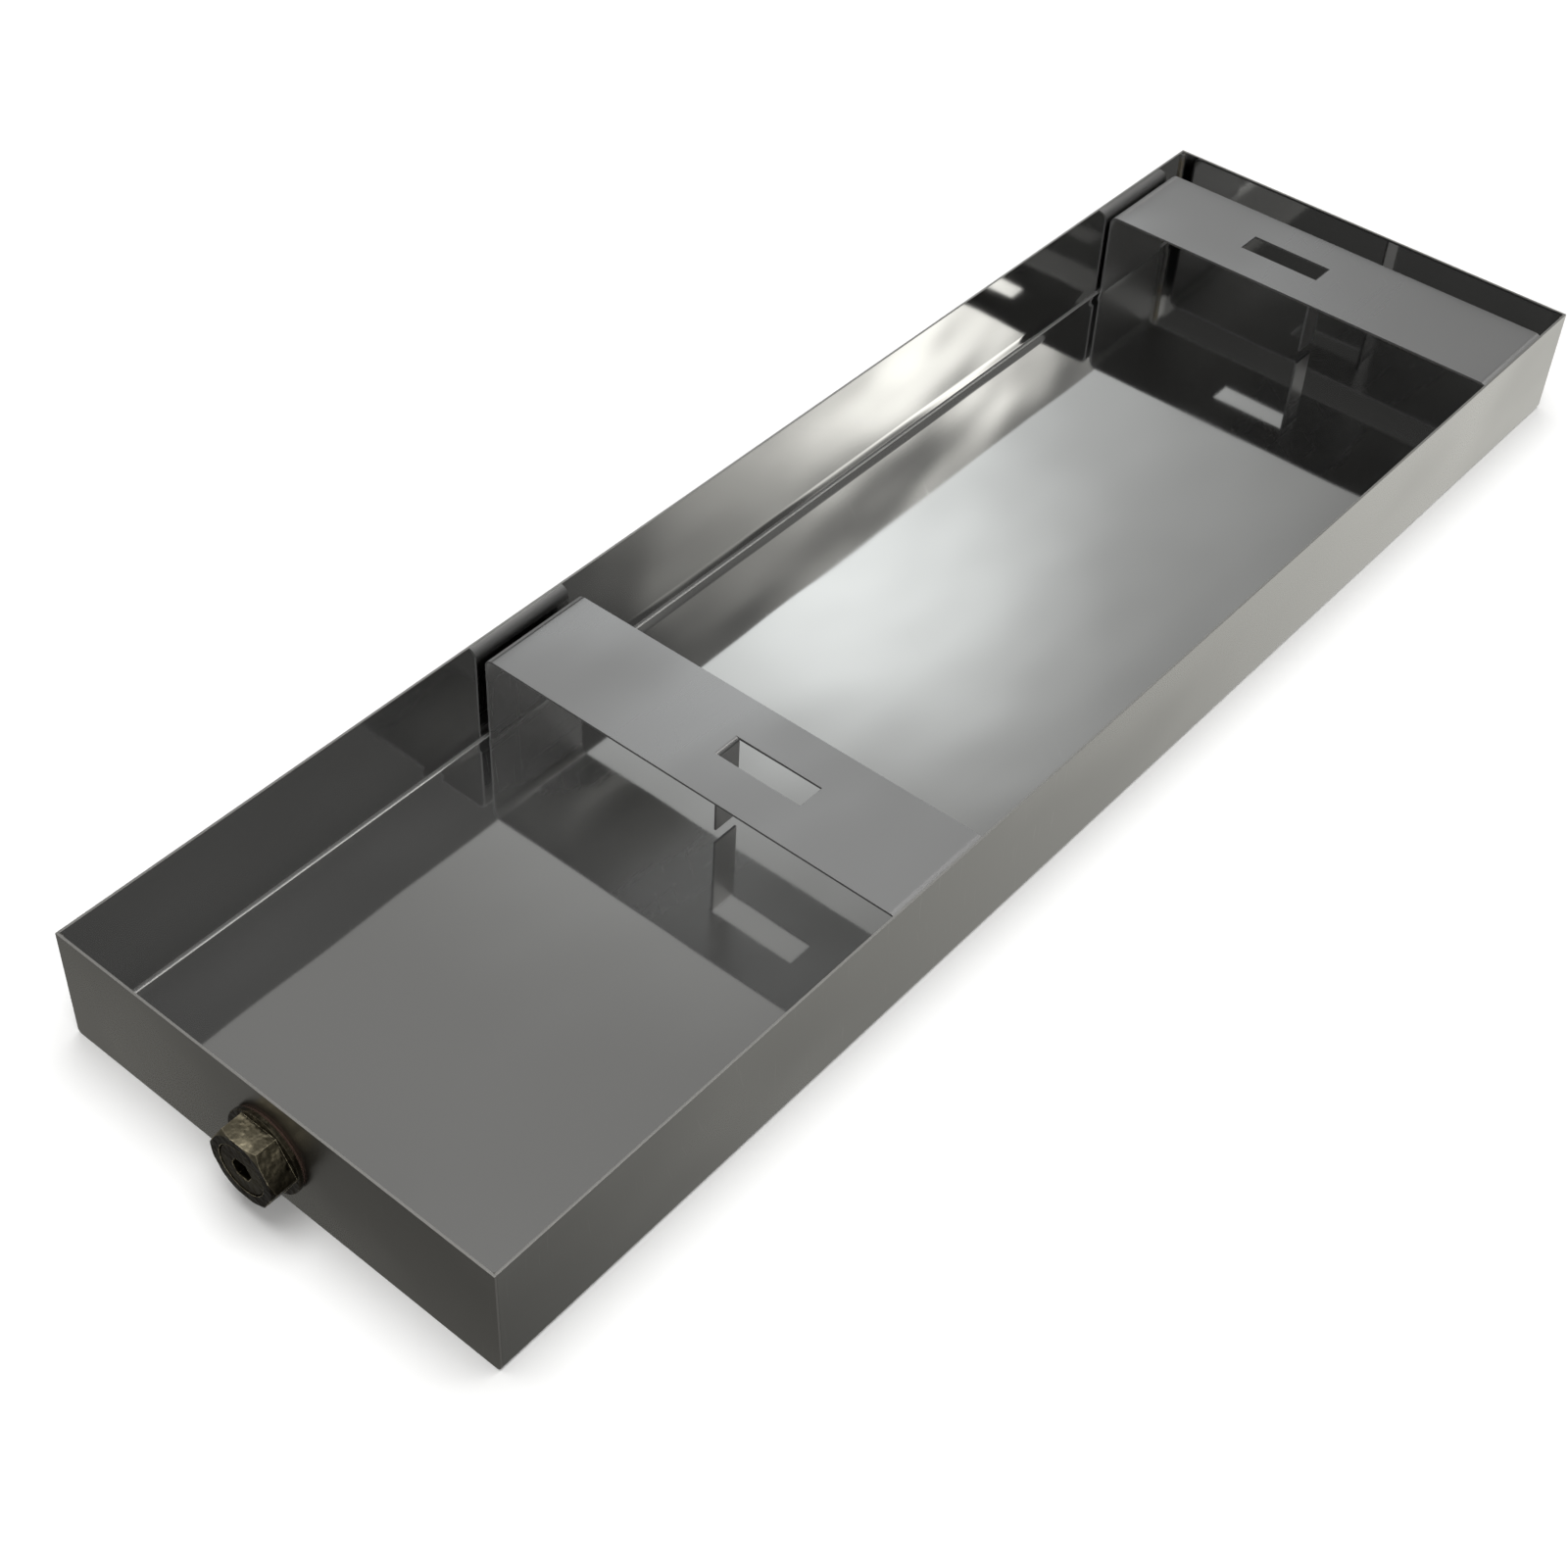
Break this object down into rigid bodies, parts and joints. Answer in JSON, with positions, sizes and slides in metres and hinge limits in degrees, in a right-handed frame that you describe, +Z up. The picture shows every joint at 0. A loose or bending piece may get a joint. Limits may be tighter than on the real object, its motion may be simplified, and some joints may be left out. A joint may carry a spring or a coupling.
{
  "type": "oil drain pan",
  "caption": "Long shallow steel drain pan with two lift-out bridges, each with a hand slot, and a brass drain fitting with a screw plug in one end.",
  "frame": {"origin": "centre of the flat underside that the pan stands on", "axes": "+X across the pan, to the right as seen from the drain end; +Y along it, away from the drain end; +Z up"},
  "size_m": [0.3, 1.0185, 0.075],
  "materials": {
    "polished_steel": "polished",
    "end_wall_steel": "polished",
    "bridge_steel": "satin",
    "weld_bead": "satin",
    "aged_brass": "satin",
    "nut_brass": "satin",
    "plug_brass": "satin",
    "fibre": "matte",
    "seal_rubber": "matte"
  },
  "bodies": {
    "pan": {"tray_shell": "polished_steel", "front_wall": "end_wall_steel", "rear_wall": "end_wall_steel", "front_seam_weld": "weld_bead", "rear_seam_weld": "weld_bead", "drain_fitting": "aged_brass", "outer_washer": "fibre", "inner_washer": "fibre", "lock_nut": "nut_brass"},
    "front_bridge": {"front_bridge": "bridge_steel"},
    "rear_bridge": {"rear_bridge": "bridge_steel"},
    "plug_seal": {"plug_seal": "seal_rubber"},
    "drain_plug": {"drain_plug": "plug_brass"}
  },
  "joints": [
    {"name": "front_bridge_lift", "type": "slide", "parent": "pan", "child": "front_bridge", "axis": [0, 0, 1], "range_m": [0, 0.09]},
    {"name": "rear_bridge_lift", "type": "slide", "parent": "pan", "child": "rear_bridge", "axis": [0, 0, 1], "range_m": [0, 0.09]},
    {"name": "plug_travel", "type": "slide", "parent": "pan", "child": "plug_seal", "axis": [0, -1, 0], "range_m": [0, 0.0166]},
    {"name": "plug_turn", "type": "hinge", "parent": "plug_seal", "child": "drain_plug", "pos_m": [0, -0.51, 0.036], "axis": [0, -1, 0], "range_deg": [0, 3240]}
  ],
  "couplings": [
    {"joint": "plug_travel", "follows": "plug_turn", "m_per_rad": 0.00028871}
  ]
}
